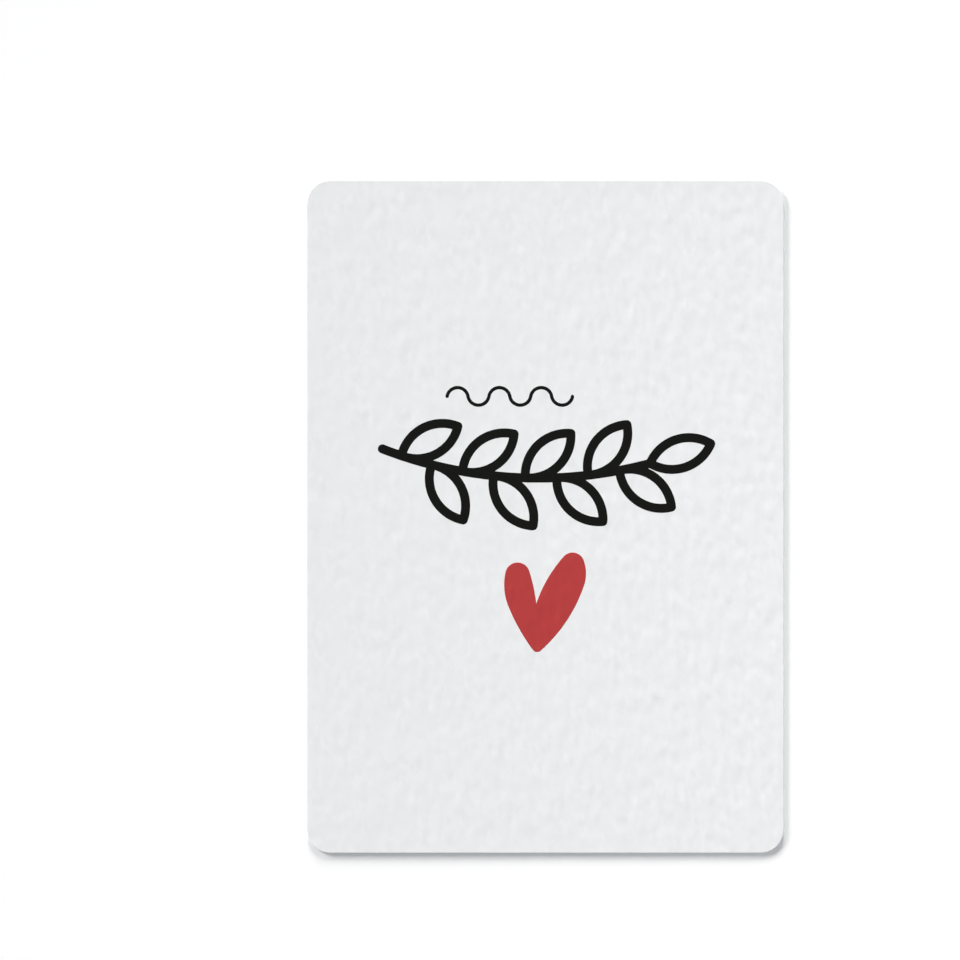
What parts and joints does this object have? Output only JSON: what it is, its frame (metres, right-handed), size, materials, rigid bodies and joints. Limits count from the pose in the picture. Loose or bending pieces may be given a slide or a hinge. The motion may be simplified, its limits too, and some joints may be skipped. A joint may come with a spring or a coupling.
{
  "type": "greeting card",
  "caption": "Flat single-sheet greeting card of textured white board with round corners, printed on its face with a red heart, a black leaf sprig and a thin wave.",
  "frame": {"origin": "middle of the card's back, on the surface that it lies on", "axes": "+X to the right of the print, +Y to the card's top edge, +Z out of the printed face"},
  "size_m": [0.105, 0.148, 0.0005],
  "materials": {
    "card_board": "matt, felt-marked tooth",
    "red_ink": "matt print on the board",
    "black_ink": "matt print on the board"
  },
  "bodies": {
    "root": {"card_sheet": "card_board", "heart_print": "red_ink", "sprig_print": "black_ink", "wave_print": "black_ink"}
  },
  "joints": []
}
